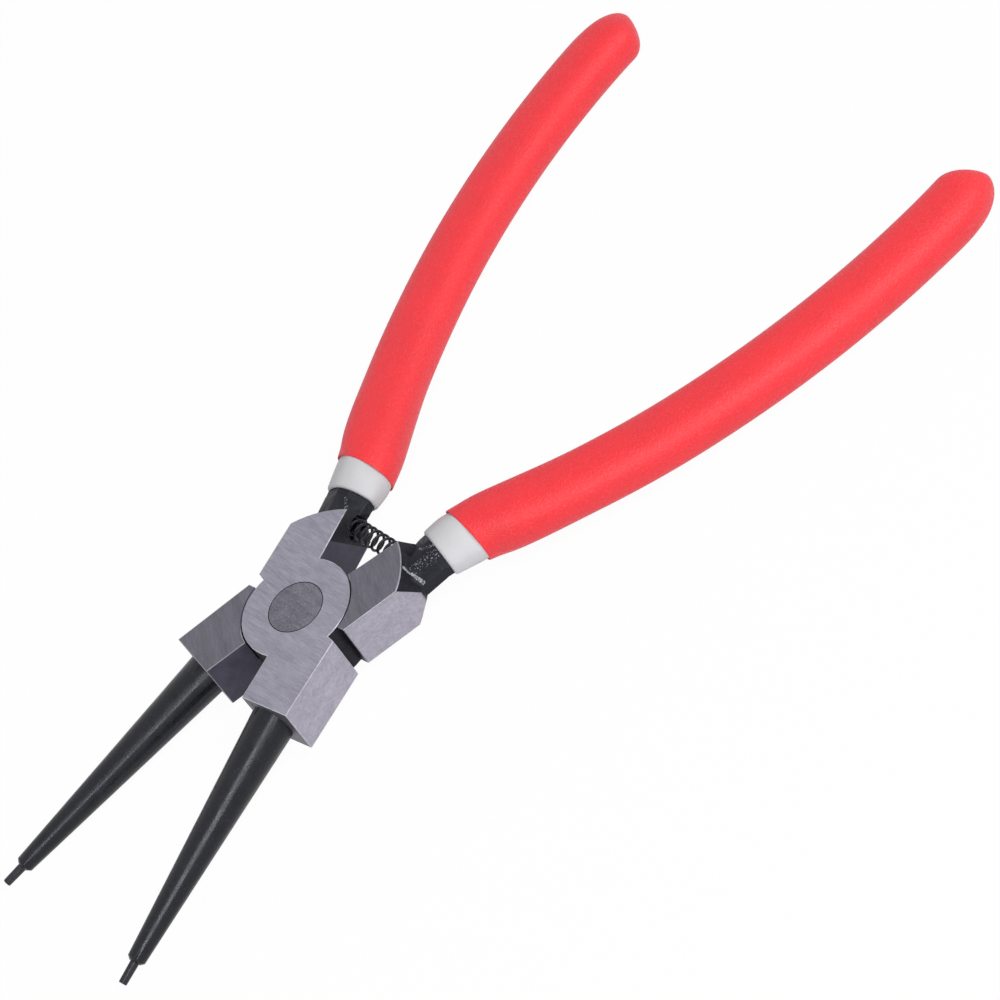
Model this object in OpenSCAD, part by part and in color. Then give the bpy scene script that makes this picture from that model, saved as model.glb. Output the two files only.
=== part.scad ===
// Circlip pliers for internal rings: two crossing halves on one flush rivet, held open by a coil spring.
// The long axis is X, with the handles at +X and the jaws at -X. The rivet's axis is Z, through the origin.
// Each half is drawn with the jaws shut, then turned half the opening angle to the relaxed pose.

/* [Head] */
// Thickness of the ground head
head_t = 9; // [8:0.25:11]
// Radius of the round joint plate on each half
boss_r = 9; // [8.25:0.05:9.2]
// Room left round the joint plate in the other half
boss_gap = 0.25; // [0.15:0.05:0.4]
// Room between the two lapped plates
lap_gap = 0.06; // [0.04:0.01:0.1]
// Distance of the ground outer sides from the centre line
side_y = 9.85; // [9.7:0.05:11]
// Direction of the stop faces, from the long axis
stop_angle = 69; // [66:0.5:72]
// Opening of the relaxed pliers, from the shut pose
rest_open = 30; // [28:0.5:34]

/* [Jaws] */
// Distance of the jaw block's end face from the rivet
jaw_end = 16.9; // [15:0.1:19]
// Distance of the jaw block's outer corner from the centre line
jaw_side_y = 9.4; // [9:0.1:9.7]
// Half of the gap between the shut jaw blocks
jaw_gap = 0.25; // [0.2:0.05:0.6]
// Distance of the cone's foot from the centre line
cone_y = 4.15; // [4:0.05:4.6]
// Radius of the cone at its foot
cone_foot_r = 3.5; // [3:0.05:3.6]
// Radius of the cone at its end
cone_end_r = 1.4; // [1.2:0.05:1.6]
// Length of the cone
cone_len = 40.5; // [34:0.5:46]
// Angle at which the cone runs in towards the centre line
cone_inward = 5.5; // [5:0.1:6]
// Angle at which both cones lean to the back
cone_lean = 8.3; // [0:0.1:12]
// Edge break on the cone's end
cone_break = 0.5; // [0.1:0.05:0.55]
// Radius of the tip pin
pin_r = 0.62; // [0.5:0.01:0.62]
// Free length of the tip pin
pin_free = 3.5; // [2.5:0.1:5]
// Depth of the tip pin's root in the cone
pin_seat = 5; // [3:0.5:8]
// Radius of the tip pin's root
pin_root_r = 0.8; // [0.7:0.05:0.95]

/* [Shoulder] */
// Distance of the shoulder's inner wall from the centre line, beside the rivet
wall_y = 0.5; // [0.4:0.1:0.8]
// Angle of the shoulder's inner wall
wall_angle = 3.3; // [2:0.1:4]
// Radius of the shoulder's curved end on the ground faces
end_r = 15.4; // [15:0.1:16]
// Centre of that curve along the long axis
end_x = 3.1; // [2.5:0.1:3.5]
// Centre of that curve across the long axis
end_y = -1.6; // [-2:0.1:-1]
// How far the bevel of that end runs out
bevel_run = 2.1; // [1.5:0.1:2.5]
// Half height of the edge that the bevels leave
bevel_edge = 1.1; // [0.8:0.1:1.4]

/* [Handles] */
// Radius of the handle's bow
bow_r = 165; // [140:1:220]
// Place of the bow's top along the long axis
bow_x = 81.3; // [76:0.1:88]
// Height of the bow's top over the centre line
bow_y = 14.4; // [13.5:0.1:16]
// Distance of the neck from the centre line
neck_y = 5.15; // [4.9:0.05:5.5]
// Softness of the bend from neck to bow
neck_bend = 0.6; // [0.3:0.05:1]
// Half width of the neck
neck_half_w = 4.05; // [3.6:0.05:4.2]
// Half thickness of the neck
neck_half_t = 2.65; // [2.4:0.05:2.9]
// Half width of the tang inside the grip
tang_half_w = 4.5; // [4.2:0.05:5.5]
// Half thickness of the tang inside the grip
tang_half_t = 3.2; // [3:0.05:3.9]
// Extra half width of the tang at its heel, next to the neck
heel_w = 0.3; // [0:0.05:0.5]
// Extra half thickness of the tang at its heel
heel_t = 0.5; // [0:0.05:0.55]
// Where the heel has run out into the even tang
heel_to = 46; // [40:1:60]
// Half height of the neck's narrow side edge
neck_edge = 0.95; // [0.7:0.05:1.05]
// Half width of the flat on the crown of the neck
crown_half_w = 1; // [0.6:0.1:1.4]
// Where the neck starts to widen into the tang
flare_from = 20.5; // [20:0.5:22]
// Where the tang has its full width
flare_to = 26.5; // [26:0.5:30]
// Where the tang ends
tang_to = 121.8; // [105:0.1:130]

/* [Grips] */
// Thickness of the pale undercoat
undercoat_t = 0.34; // [0.25:0.01:0.5]
// Where the undercoat starts
undercoat_from = 22.2; // [22:0.1:24]
// Thickness of the red coat
coat_t = 0.4; // [0.3:0.05:0.8]
// Thickness of the red coat at its thin lower edge
coat_lip = 0.1; // [0.08:0.01:0.2]
// Where the red coat starts
coat_from = 27.2; // [26:0.1:30]
// Angle of the red coat's lower edge, as the dip left it
coat_tilt = 6; // [0:0.5:8]
// How far the lower edge takes to reach the full coat
coat_run = 4.5; // [3:0.5:6]
// Thickness of the red coat over the handle's end
coat_end = 1.6; // [1:0.1:2.5]
// Length over which the handle's end is rounded
end_round = 4.4; // [3:0.1:5.5]
// Room between coats
coat_gap = 0.03; // [0.02:0.01:0.05]

/* [Rivet] */
// Radius of the flush rivet head
rivet_head_r = 4.55; // [4.2:0.05:5]
// Radius of the rivet's shank
rivet_shank_r = 3.4; // [3:0.05:3.8]
// Straight depth of the rivet head
rivet_head_t = 0.8; // [0.5:0.05:1.2]
// Edge break of the rivet head
rivet_break = 0.14; // [0.05:0.01:0.2]
// Running clearance of the rivet in the front half
rivet_run = 0.05; // [0.02:0.01:0.08]
// Clearance of the rivet in the rear half, where it is held fast
rivet_hold = 0.01; // [0.005:0.005:0.02]

/* [Spring] */
// Place of the spring along the long axis
spring_x = 16.7; // [16:0.1:17]
// Outer radius of the spring
spring_r = 1.7; // [1.4:0.05:1.75]
// Radius of the spring wire
wire_r = 0.23; // [0.16:0.01:0.26]
// Turns of the spring
spring_turns = 12; // [8:1:15]
// Close turns at each end of the spring
dead_turns = 1; // [1:1:2]
// Depth of the spring's seat below the inner wall
seat_depth = 2; // [1.6:0.1:2.4]
// Room round the spring in its seat
seat_gap = 0.3; // [0.25:0.05:0.4]
// Room between the spring's end and the floor of its seat
seat_end_gap = 0.1; // [0.05:0.05:0.2]

/* [Hidden] */
$fn = 96;
mid = head_t / 2;
half_open = rest_open / 2;
over = 1;
// The blocks start inside the round plate
block_sink = 2.7;
block_root = boss_r - block_sink;
steel_black = [0.13, 0.13, 0.15];
steel_grey = [0.55, 0.54, 0.58];
rivet_grey = [0.42, 0.42, 0.45];
undercoat_grey = [0.84, 0.84, 0.85];
coat_red = [0.95, 0.26, 0.28];
// Samples on each side of a coat's section, and steps along the neck and along the bow
side_n = 3;
neck_step = 1.5;
bow_step = 6;
slope_step = 0.1;
// Least distance between the first two sections of a piece
first_step = 0.5;
// Where the red coat has its full thickness
flare_end = flare_to + coat_run;
// Where the sections stand square to the bow
square_run = 17;
bow_from = flare_to + square_run;
// Squareness of the coats' section: 2 is an ellipse
coat_square = 2.4;
// Angles of the rings that round off a handle's end
round_angles = [0, 22, 42, 60, 75, 86];
round_power = 1.33;
// The tang starts inside the shoulder
tang_from = 12;
// The pin bore is a hair wider than the pin's root
pin_fit = 0.01;
// The cone starts inside the jaw block
cone_root = 2;
cone_taper = (cone_foot_r - cone_end_r) / cone_len;
// Samples round the spring wire and round one turn, and the room between the close turns
wire_n = 6;
turn_n = 20;
close_gap = 0.04;

// The handle's centre line: a straight neck that bends into one wide arc
function bow(u) = bow_y - bow_r + sqrt(bow_r * bow_r - (u - bow_x) * (u - bow_x));
function spine(u) = neck_y + neck_bend * ln(1 + exp((bow(u) - neck_y) / neck_bend));
function spine_angle(u) = atan2(spine(u + slope_step) - spine(u - slope_step), 2 * slope_step);

// Direction of a section: square to the long axis at the neck, tilted at the red coat's edge,
// then square to the bow
function section_angle(u) = let (bowed = ease(u, flare_to, bow_from))
    spine_angle(u) * bowed - coat_tilt * ease(u, flare_from, coat_from) * (1 - bowed);

// Easing between two places along the handle
function ease(u, a, b) = let (t = max(0, min(1, (u - a) / (b - a)))) t * t * (3 - 2 * t);
function mix(a, b, t) = a + (b - a) * t;
function heel(u) = 1 - ease(u, flare_to, heel_to);
function tang_w(u) = mix(neck_half_w, tang_half_w + heel_w * heel(u), ease(u, flare_from, flare_to));
function tang_t(u) = mix(neck_half_t, tang_half_t + heel_t * heel(u), ease(u, flare_from, flare_to));
function lip(u) = mix(coat_lip, coat_t, ease(u, coat_from, coat_from + coat_run));

// Crowned forging section: narrow side edges and a low ridge on both faces
function forged_corners(w, t) = [[w, -neck_edge], [w, neck_edge], [crown_half_w, t], [-crown_half_w, t],
    [-w, neck_edge], [-w, -neck_edge], [-crown_half_w, -t], [crown_half_w, -t]];
function forged_ring(w, t) = let (c = forged_corners(w, t))
    [for (i = [0:len(c) - 1]) for (j = [0:side_n - 1]) mix(c[i], c[(i + 1) % len(c)], j / side_n)];

// Rounded section of a coat of thickness g: the points of the forging, pushed out to the coat
function coat_reach(p, w, t) = pow(pow(abs(p[0]) / w, coat_square) + pow(abs(p[1]) / t, coat_square),
    -1 / coat_square);
function coat_ring(w, t, g) = [for (p = forged_ring(w, t)) p * coat_reach(p, w + g, t + g)];

// A section set across the centre line at place u
function placed(ring, u) = let (a = section_angle(u))
    [for (p = ring) [u - p[0] * sin(a), spine(u) + p[0] * cos(a), mid + p[1]]];

// Places of the sections along a handle, the same for the tang and its coats
bow_start = flare_end + neck_step;
bow_end = tang_to - end_round;
bow_count = ceil((bow_end - bow_start) / bow_step);
handle_stations = concat(
    [for (u = [tang_from:neck_step:flare_end]) u],
    [for (i = [0:bow_count - 1]) mix(bow_start, bow_end, i / bow_count)]);

// Places and scales of the sections of a round-ended piece, from its first section to its closed end
function sections(from, to) = concat(
    [[from, 1]],
    [for (u = handle_stations) if (u > from + first_step) [u, 1]],
    [for (a = round_angles)
        [to - end_round * (1 - pow(sin(a), round_power)), pow(cos(a), round_power)]]);
function coat_rings(from, to, grow) = [for (s = sections(from, to)) let (u = s[0])
    placed(s[1] * coat_ring(tang_w(u), tang_t(u), grow(u)), u)];
function tang_rings(from, to) = [for (s = sections(from, to)) let (u = s[0])
    placed(s[1] * forged_corners(tang_w(u), tang_t(u)), u)];
function bed_rings(from, to) = [for (s = sections(from, to)) let (u = s[0])
    placed(s[1] * forged_corners(tang_w(u) + coat_gap, tang_t(u) + coat_gap), u)];

// Solid skin over a list of rings that run anticlockwise, seen from the last
function skin(n, first, count, inside) = [for (i = [0:count - 2]) for (k = [0:n - 1]) let (
    a = first + i * n + k, b = first + i * n + (k + 1) % n)
    each inside ? [[a, b, a + n], [b, b + n, a + n]] : [[a, a + n, b], [b, a + n, b + n]]];
function cap(n, first, inside) = [[for (k = [0:n - 1]) first + (inside ? k : n - 1 - k)]];
module loft(rings) {
    n = len(rings[0]);
    m = len(rings);
    polyhedron([for (r = rings) each r],
        concat(skin(n, 0, m, false), cap(n, 0, true), cap(n, (m - 1) * n, false)));
}

// The same with a hollow inside, open at the first ring; an outer ring has as many points as an inner one,
// or a multiple of them
module hollow_loft(outer, inner) {
    n = len(outer[0]);
    m = len(outer);
    n_in = len(inner[0]);
    first_in = m * n;
    ratio = n / n_in;
    rim = [for (k = [0:n - 1]) let (
        j = (k + 1) % n, a = first_in + floor(k / ratio), b = first_in + floor(j / ratio))
        each a == b ? [[k, j, a]] : [[k, j, a], [j, b, a]]];
    polyhedron([for (r = concat(outer, inner)) each r],
        concat(skin(n, 0, m, false), cap(n, (m - 1) * n, false), rim,
            skin(n_in, first_in, len(inner), true), cap(n_in, first_in + (len(inner) - 1) * n_in, true)));
}

// Places a half, or what it carries, at the relaxed opening; the rear one is the front one turned over
module front_place() {
    rotate([0, 0, half_open]) children();
}
module rear_place() {
    rotate([0, 0, -half_open]) translate([0, 0, head_t]) rotate([180, 0, 0]) children();
}

// Frame of a cone, from the middle of its foot along its own axis; lean_way is -1 or 1
module cone_frame(lean_way) {
    translate([-jaw_end, -cone_y, mid])
        rotate([0, 0, 180 - cone_inward])
            rotate([0, 90 - lean_way * cone_lean, 0])
                children();
}

// Full-thickness jaw block: ground outer side, end face square to the cone, wall beside the other jaw
module jaw_block() {
    slant = tan(cone_inward);
    linear_extrude(head_t)
        polygon([
            [-block_root * cos(stop_angle), -block_root * sin(stop_angle)],
            [-side_y / tan(stop_angle), -side_y],
            [-jaw_end - (jaw_side_y - cone_y) * slant, -jaw_side_y],
            [-jaw_end + (cone_y - jaw_gap) * slant, -jaw_gap],
            [-block_root, -jaw_gap]]);
}

// Full-thickness shoulder with a curved end that is bevelled from both faces
module shoulder_block() {
    reach = end_x + end_r + bevel_run + over;
    intersection() {
        linear_extrude(head_t)
            polygon([
                [block_root * cos(stop_angle), block_root * sin(stop_angle)],
                [block_root, wall_y + block_root * tan(wall_angle)],
                [reach, wall_y + reach * tan(wall_angle)],
                [reach, side_y],
                [side_y / tan(stop_angle), side_y]]);
        translate([end_x, end_y, 0])
            rotate_extrude()
                polygon([
                    [0, 0],
                    [end_r, 0],
                    [end_r + bevel_run, mid - bevel_edge],
                    [end_r + bevel_run, mid + bevel_edge],
                    [end_r, head_t],
                    [0, head_t]]);
    }
}

// Solid of revolution of the rivet, or of its hole when grown by a clearance
module rivet_solid(grow, edge) {
    head = rivet_head_r + grow;
    shank = rivet_shank_r + grow;
    sink = rivet_head_t + rivet_head_r - rivet_shank_r;
    rotate_extrude()
        polygon([
            [0, 0],
            [head - edge, 0],
            [head, edge],
            [head, rivet_head_t],
            [shank, sink],
            [shank, head_t - sink],
            [head, head_t - rivet_head_t],
            [head, head_t - edge],
            [head - edge, head_t],
            [0, head_t]]);
}

// Blind seat of the spring in a half's inner wall, square to the long axis in the relaxed pose
function wall_at_rest(x) = wall_y * cos(half_open)
    + (x + wall_y * sin(half_open)) * tan(half_open + wall_angle);
seat_floor = wall_at_rest(spring_x) + seat_depth;
module spring_seat() {
    rotate([0, 0, -half_open])
        translate([spring_x, 0, mid])
            rotate([-90, 0, 0])
                cylinder(h = seat_floor, r = spring_r + seat_gap);
}

// One forged half: round plate, jaw block with its cone, shoulder, neck and tang
module half_forging(lean_way, rivet_clear) {
    difference() {
        union() {
            translate([0, 0, mid + lap_gap / 2])
                cylinder(h = mid - lap_gap / 2, r = boss_r);
            difference() {
                union() {
                    jaw_block();
                    shoulder_block();
                }
                translate([0, 0, -over])
                    cylinder(h = mid + lap_gap / 2 + over, r = boss_r + boss_gap);
            }
            cone_frame(lean_way)
                translate([0, 0, -cone_root])
                    cylinder(h = cone_len + cone_root - cone_break,
                        r1 = cone_foot_r + cone_root * cone_taper,
                        r2 = cone_end_r + cone_break * cone_taper);
            cone_frame(lean_way)
                translate([0, 0, cone_len - cone_break])
                    cylinder(h = cone_break,
                        r1 = cone_end_r + cone_break * cone_taper,
                        r2 = cone_end_r - cone_break);
            loft(tang_rings(tang_from, tang_to));
        }
        cone_frame(lean_way)
            translate([0, 0, cone_len - pin_seat])
                cylinder(h = pin_seat + over, r = pin_root_r + pin_fit);
        rivet_solid(rivet_clear, 0);
        spring_seat();
    }
}

// Pin that goes into a ring's hole, held by its thicker root in the end of a cone
module tip_pin(lean_way) {
    cone_frame(lean_way) {
        translate([0, 0, cone_len - pin_seat])
            cylinder(h = pin_seat, r = pin_root_r);
        translate([0, 0, cone_len - over])
            cylinder(h = over + pin_free, r = pin_r);
    }
}

// Pale coat dipped on over the tang
module undercoat() {
    hollow_loft(
        coat_rings(undercoat_from, tang_to + undercoat_t + coat_gap, function (u) undercoat_t),
        bed_rings(undercoat_from, tang_to + coat_gap));
}

// Red coat dipped on over the pale one, with a thin lower edge
module grip() {
    bed = undercoat_t + coat_gap;
    hollow_loft(
        coat_rings(coat_from, tang_to + coat_end, function (u) bed + lip(u)),
        coat_rings(coat_from, tang_to + bed + coat_gap, function (u) bed));
}

module front_half() {
    color(steel_grey) front_place() half_forging(-1, rivet_run);
}
module rear_half() {
    color(steel_grey) rear_place() half_forging(1, rivet_hold);
}
module pivot_rivet() {
    color(rivet_grey) rivet_solid(0, rivet_break);
}

// Wire of the spring, swept along its own centre line; the end turns lie close together
spring_half = seat_floor - seat_end_gap - wire_r;
coil_r = spring_r - wire_r;
close_rise = 2 * wire_r + close_gap;
live_rise = (2 * spring_half - 2 * dead_turns * close_rise) / (spring_turns - 2 * dead_turns);
function spring_rise(turn) =
    turn < dead_turns ? turn * close_rise
    : turn > spring_turns - dead_turns ? 2 * spring_half - (spring_turns - turn) * close_rise
    : dead_turns * close_rise + (turn - dead_turns) * live_rise;
function wire_ring(turn) = let (a = turn * 360, y = spring_rise(turn) - spring_half)
    [for (k = [0:wire_n - 1]) let (b = k * 360 / wire_n, r = coil_r + wire_r * cos(b))
        [spring_x + r * cos(a), y + wire_r * sin(b), mid + r * sin(a)]];
module return_spring() {
    color(steel_black) loft([for (i = [0:spring_turns * turn_n]) wire_ring(i / turn_n)]);
}

module front_tip_pin() {
    color(steel_black) front_place() tip_pin(-1);
}
module rear_tip_pin() {
    color(steel_black) rear_place() tip_pin(1);
}
module front_undercoat() {
    color(undercoat_grey) front_place() undercoat();
}
module rear_undercoat() {
    color(undercoat_grey) rear_place() undercoat();
}
module front_grip() {
    color(coat_red) front_place() grip();
}
module rear_grip() {
    color(coat_red) rear_place() grip();
}

front_half();
rear_half();
pivot_rivet();
return_spring();
front_tip_pin();
rear_tip_pin();
front_undercoat();
rear_undercoat();
front_grip();
rear_grip();
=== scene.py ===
"""Circlip pliers: every piece in its finish, and the studio that they lie in."""
import math

import bmesh
import bpy
from bpy.props import FloatProperty, FloatVectorProperty, IntProperty, PointerProperty
from mathutils import Matrix, Vector
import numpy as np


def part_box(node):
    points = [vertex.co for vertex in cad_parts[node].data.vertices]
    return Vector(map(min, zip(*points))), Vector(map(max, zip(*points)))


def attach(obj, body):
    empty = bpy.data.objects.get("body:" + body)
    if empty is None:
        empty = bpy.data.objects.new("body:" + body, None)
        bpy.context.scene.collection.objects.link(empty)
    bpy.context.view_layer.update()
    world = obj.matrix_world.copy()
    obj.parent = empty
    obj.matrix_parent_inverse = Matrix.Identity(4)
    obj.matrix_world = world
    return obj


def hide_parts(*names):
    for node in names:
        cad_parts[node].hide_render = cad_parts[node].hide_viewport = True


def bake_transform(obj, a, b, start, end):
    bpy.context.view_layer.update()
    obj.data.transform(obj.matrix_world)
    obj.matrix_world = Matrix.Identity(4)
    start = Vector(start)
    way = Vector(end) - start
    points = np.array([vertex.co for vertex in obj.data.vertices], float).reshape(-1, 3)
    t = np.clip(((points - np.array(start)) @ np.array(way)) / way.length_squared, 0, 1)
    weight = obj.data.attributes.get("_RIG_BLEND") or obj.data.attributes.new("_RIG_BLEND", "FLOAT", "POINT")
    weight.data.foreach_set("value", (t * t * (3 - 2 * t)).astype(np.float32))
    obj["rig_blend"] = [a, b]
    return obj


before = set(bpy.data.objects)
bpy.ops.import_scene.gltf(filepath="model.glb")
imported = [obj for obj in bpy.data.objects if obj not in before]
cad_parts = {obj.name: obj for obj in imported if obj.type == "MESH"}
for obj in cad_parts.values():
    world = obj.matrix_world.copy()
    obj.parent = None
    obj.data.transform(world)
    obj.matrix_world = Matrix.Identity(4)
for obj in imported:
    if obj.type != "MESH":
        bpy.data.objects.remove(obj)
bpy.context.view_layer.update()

bl_info = {
    "name": "Circlip Pliers",
    "version": (1, 0, 0),
    "blender": (4, 5, 0),
    "location": "3D View > Sidebar > Pliers",
    "description": "Builds the forged halves, rivet, spring, tips and dipped grips of circlip pliers",
    "category": "Object",
}

MM = 0.001
SIDES = ("front", "rear")


# Sizes and colours

def length(name, description, millimetres):
    """A length property, given in millimetres."""
    return FloatProperty(name=name, description=description, default=millimetres * MM,
                         precision=5, unit="LENGTH")


def turn(name, description, degrees):
    """An angle property, given in degrees."""
    return FloatProperty(name=name, description=description, default=math.radians(degrees), subtype="ANGLE")


def tone(name, description, colour):
    """A colour property, in linear values."""
    return FloatVectorProperty(name=name, description=description, default=colour, size=3,
                               min=0.0, max=1.0, subtype="COLOR")


def location(name, description, place):
    """A place property, given in metres."""
    return FloatVectorProperty(name=name, description=description, default=place, size=3,
                               subtype="TRANSLATION", unit="LENGTH")


def number(name, description, value, unit="NONE"):
    """A number property, in a unit if it has one."""
    return FloatProperty(name=name, description=description, default=value, unit=unit)


class PLIERS_PG_head(bpy.types.PropertyGroup):
    """Sizes of the forged head, its jaws and the rivet."""
    opening: turn("Opening", "Turn of each half away from shut", 15)
    thickness: length("Thickness", "Thickness of the head", 9)
    jaw_side: length("Jaw side", "From the long axis to the jaw's ground side at its end", 9.4)
    jaw_end: length("Jaw end", "From the pivot to the jaw's end face", 16.9)
    neck_start: length("Neck start", "From the pivot to where the black neck starts", 17.6)
    foot_draw: length("Foot draw", "How far the foot of the neck is drawn in towards the head", 0.7)
    foot_inner: length("Foot inner", "From the long axis to the inner end of the neck's foot", 2.5)
    foot_outer: length("Foot outer", "From the long axis to the outer end of the neck's foot", 9)
    wall_y: length("Wall", "From the long axis to the start of the inner wall", 1.016)
    wall_from: length("Wall start", "From the pivot to the start of the inner wall", 8.94)
    wall_lean: turn("Wall lean", "Turn of the inner wall away from the long axis", 3.3)
    # Past this slanted line the wall gets the black finish as painted shade round the spring and its seat
    wall_to: length("Wall end", "From the pivot to where the smooth inner wall turns black", 14.7)
    wall_slant: turn("Wall slant", "Slant of the line where the smooth inner wall turns black", 29)
    edge_break: length("Edge break", "Width of the broken edges of the ground faces", 0.13)
    forged_break: length("Forged break", "Width of the soft edges of the forged necks", 0.22)
    rivet_radius: length("Rivet radius", "Radius of the flush rivet head", 4.55)
    rivet_break: length("Rivet break", "Width of the rivet head's broken rim", 0.22)
    rivet_crown: length("Rivet crown", "Hollow in the middle of the peened rivet head", 0.05)


class PLIERS_PG_handles(bpy.types.PropertyGroup):
    """Line and section of a handle, drawn shut along +X."""
    bow_radius: length("Bow radius", "Radius of the handle's long bow", 165)
    bow_x: length("Bow top", "From the pivot to the top of the bow", 81.3)
    bow_y: length("Bow height", "Height of the bow's top over the long axis", 14.4)
    neck_y: length("Neck height", "Height of the straight neck over the long axis", 5.15)
    neck_bend: length("Neck bend", "Softness of the bend between neck and bow", 0.6)
    neck_half_width: length("Neck half width", "Half width of the bare neck", 4.05)
    neck_half_height: length("Neck half height", "Half height of the bare neck", 2.65)
    tang_half_width: length("Tang half width", "Half width of the tang inside the grip", 4.5)
    tang_half_height: length("Tang half height", "Half height of the tang inside the grip", 3.2)
    edge_half_height: length("Edge half height", "Half height of the forging's side edges", 0.95)
    crown_half_width: length("Crown half width", "Half width of the forging's flat crown", 1)
    lift: length("Lift", "How far the start of the handle stands above the middle of the head", 0.55)
    lift_from: length("Lift start", "Where the neck starts to rise", 17.8)
    lift_full: length("Lift full", "Where the handle stands highest", 21.8)
    lift_hold: length("Lift hold", "Where the handle starts to come down again", 30)
    lift_to: length("Lift end", "Where the handle is back at the middle of the head", 62)
    heel_width: length("Heel width", "Extra half width of the tang next to the neck", 0.3)
    heel_height: length("Heel height", "Extra half height of the tang next to the neck", 0.5)
    heel_to: length("Heel end", "Where the heel has run out into the even tang", 46)
    flare_from: length("Flare start", "Where the neck starts to widen into the tang", 20.5)
    flare_to: length("Flare end", "Where the tang has its full section", 26.5)
    square_run: length("Square run", "Run over which the sections turn square to the bow", 17)


class PLIERS_PG_coats(bpy.types.PropertyGroup):
    """The pale first dip and the red dip over it."""
    first_from: length("First dip start", "Where the pale first dip starts", 22.2)
    first_thickness: length("First dip thickness", "Thickness of the pale first dip", 0.46)
    red_from: length("Red dip start", "Where the red dip starts", 27.2)
    red_thickness: length("Red dip thickness", "Full thickness of the red dip", 0.28)
    red_lip: length("Red lip", "Thickness of the red dip at its edge", 0.14)
    red_run: length("Red run", "Run over which the red dip reaches its thickness", 4.5)
    red_tilt: turn("Red tilt", "Lean of the dip's edge across the handle", 6)
    front_end: length("Front end", "Where the front grip ends", 125)
    rear_end: length("Rear end", "Where the rear grip ends", 122.7)
    end_outer: length("Outer round", "Run of the long round on the end's outer side", 10.5)
    end_inner: length("Inner round", "Run of the slanted round on the end's inner side", 5.2)
    end_over: length("Upper round", "Run of the round over the end, seen from the side", 5.5)
    end_lead: number("End lead", "Place of the end's foremost point, as a share of the half width", 0.12)
    clearance: length("Clearance", "Gap between the two dips", 0.03)


class PLIERS_PG_spring(bpy.types.PropertyGroup):
    """The return spring between the two shoulders."""
    place: length("Place", "From the pivot to the spring's axis", 16.7)
    half_length: length("Half length", "Half length between the middles of the end coils", 7.74)
    radius: length("Coil radius", "Outer radius of the coils", 1.7)
    wire: length("Wire radius", "Radius of the wire", 0.23)
    turns: IntProperty(name="Turns", description="Turns of wire, with the two closed end turns", default=12)


class PLIERS_PG_tips(bpy.types.PropertyGroup):
    """The pins in the ends of the cones."""
    foot_y: length("Cone foot", "From the long axis to the cone's foot, with the tool shut", 4.15)
    reach: length("Reach", "Along the axis from the foot to the cone's end", 40.5)
    radius: length("Pin radius", "Middle radius of the free pin", 0.64)
    taper: number("Pin taper", "Radius of the pin's sunk end over its free end", 1.24)
    free: length("Free length", "Length of the pin outside the cone", 3.5)
    sunk: length("Sunk length", "Length of the pin inside the cone", 5)
    chamfer: length("Chamfer", "Chamfer at the pin's end", 0.12)


class PLIERS_PG_finish(bpy.types.PropertyGroup):
    """Colours of the finishes."""
    front_face: tone("Front face", "Ground front face of the front half", (0.295, 0.285, 0.345))
    rear_face: tone("Rear face", "Ground face of the rear half", (0.134, 0.131, 0.160))
    ground_side: tone("Ground side", "Ground outer sides", (0.375, 0.355, 0.425))
    # The jaw end colour is painted shade: ground steel darkened for the shadow of the cones at their feet
    jaw_end: tone("Jaw end", "End faces of the jaws, round the feet of the cones", (0.14, 0.137, 0.165))
    # The broken edges take a lighter copy of the ground steel: a painted highlight along bevels that are real
    front_edge: tone("Front edge", "Broken edges of the front half", (0.49, 0.48, 0.53))
    rear_edge: tone("Rear edge", "Broken edges of the rear half", (0.30, 0.295, 0.33))
    black: tone("Black oxide", "Blackened forged surfaces", (0.009, 0.009, 0.0135))
    # Bright marks on the necks: partly rubbed wear, partly a painted highlight along their edges and facets
    worn: tone("Worn black", "Places on the necks that are rubbed bright", (0.34, 0.34, 0.38))
    cone: tone("Cone oxide", "Blackened turned cones", (0.003, 0.003, 0.005))
    wall: tone("Inner wall", "Smooth dark inner walls", (0.056, 0.053, 0.077))
    rivet: tone("Rivet", "Flush rivet head", (0.157, 0.153, 0.186))
    wire: tone("Spring wire", "Blackened spring wire", (0.012, 0.012, 0.015))
    pin: tone("Pin", "Hardened dark pins", (0.02, 0.02, 0.023))
    first_dip: tone("First dip", "Pale first dip", (0.57, 0.57, 0.59))
    first_grain: tone("First grain", "Pale grain on the first dip", (0.68, 0.68, 0.69))
    red_dip: tone("Red dip", "Red dipped plastic", (0.85, 0.030, 0.040))
    red_grain: tone("Red grain", "Pale grain on the lit red", (0.95, 0.12, 0.13))
    red_rim: tone("Red rim", "Cool bloom on the red where it turns away", (0.55, 0.3, 0.95))


class PLIERS_PG_stage(bpy.types.PropertyGroup):
    """Camera, floor and lamp."""
    camera_place: location("Camera place", "Where the camera stands", (-0.0701675, -0.3004183, 0.3192883))
    camera_turn: FloatVectorProperty(name="Camera turn", description="Turn of the camera",
                                     size=3, subtype="EULER",
                                     default=[math.radians(a) for a in (39.136094, 22.459716, -44.724863)])
    focal: number("Focal length", "Focal length on a 36 mm sensor", 104.4)
    floor_size: number("Floor size", "Side of the floor", 6.0, "LENGTH")
    floor_tone: tone("Floor", "Pale floor", (0.85, 0.85, 0.86))
    sky: number("Sky", "Strength of the even light all round", 0.34)
    lamp: number("Lamp", "Power of the long soft lamp over the camera", 9.8, "POWER")
    lamp_place: location("Lamp place", "Where the middle of the lamp hangs", (0.1, -0.55, 0.75))
    lamp_length: number("Lamp length", "Length of the lamp along the tool", 1.6, "LENGTH")
    lamp_width: number("Lamp width", "Width of the lamp", 0.06, "LENGTH")


# Selecting and shaping

def start_piece():
    """Leave edit mode and let go of everything, so the next operator meets only its own piece."""
    if bpy.context.mode != "OBJECT":
        bpy.ops.object.mode_set(mode="OBJECT")
    bpy.ops.object.select_all(action="DESELECT")


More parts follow.
